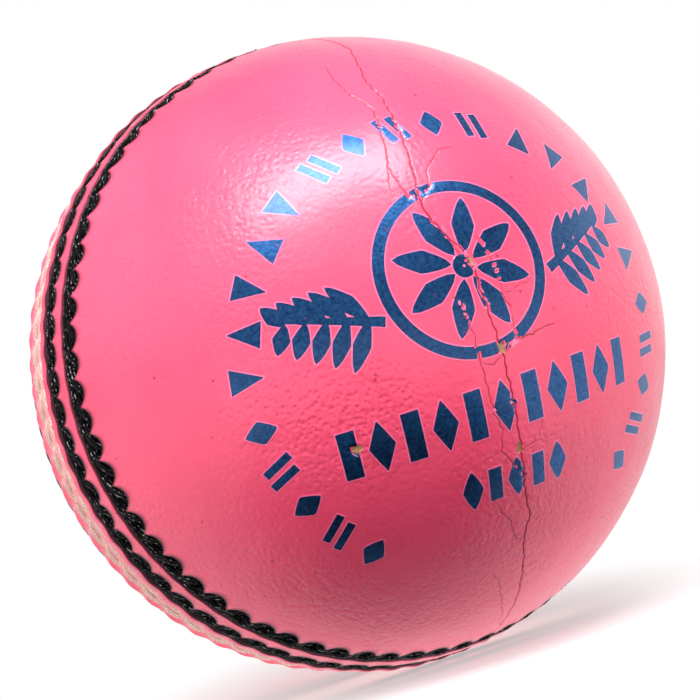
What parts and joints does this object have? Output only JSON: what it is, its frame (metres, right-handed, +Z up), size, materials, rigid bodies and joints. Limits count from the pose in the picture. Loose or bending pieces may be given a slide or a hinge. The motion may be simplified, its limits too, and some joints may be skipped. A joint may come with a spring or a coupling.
{
  "type": "cricket ball",
  "caption": "Hand-stitched cricket ball: pink leather quarters over a quilt of wound yarn and cork, with rows of thread round the seam.",
  "frame": {"origin": "centre of the ball", "axes": "+Y is the ball's axis, square to the seam, from the stamped front cup towards the plain rear cup. +Z is up and lies in the seam's plane, with the ball standing on its seam. The front cup's two quarters meet in the YZ plane and the rear cup's in the XY plane."},
  "size_m": [0.0724, 0.0722, 0.0724],
  "materials": {
    "pink_leather": "glossy lacquered",
    "black_waxed_thread": "waxed",
    "natural_thread": "matte",
    "blue_foil": "metallic foil",
    "cork": "matte",
    "wool_yarn": "matte"
  },
  "bodies": {
    "root": {"cork_core": "cork", "inner_yarn_winding": "wool_yarn", "inner_cork_strip_1": "cork", "inner_cork_strip_2": "cork", "inner_cork_strip_3": "cork", "inner_cork_strip_4": "cork", "middle_yarn_winding": "wool_yarn", "outer_cork_strip_1": "cork", "outer_cork_strip_2": "cork", "outer_cork_strip_3": "cork", "outer_cork_strip_4": "cork", "outer_cork_strip_5": "cork", "outer_cork_strip_6": "cork", "outer_yarn_winding": "wool_yarn", "front_left_leather_quarter": "pink_leather", "front_right_leather_quarter": "pink_leather", "rear_upper_leather_quarter": "pink_leather", "rear_lower_leather_quarter": "pink_leather", "front_quarter_seam_thread": "natural_thread", "rear_quarter_seam_thread": "natural_thread", "front_inner_stitch_row": "natural_thread", "front_middle_stitch_row": "black_waxed_thread", "front_outer_stitch_row": "black_waxed_thread", "rear_inner_stitch_row": "natural_thread", "rear_middle_stitch_row": "black_waxed_thread", "rear_outer_stitch_row": "black_waxed_thread"}
  },
  "joints": []
}
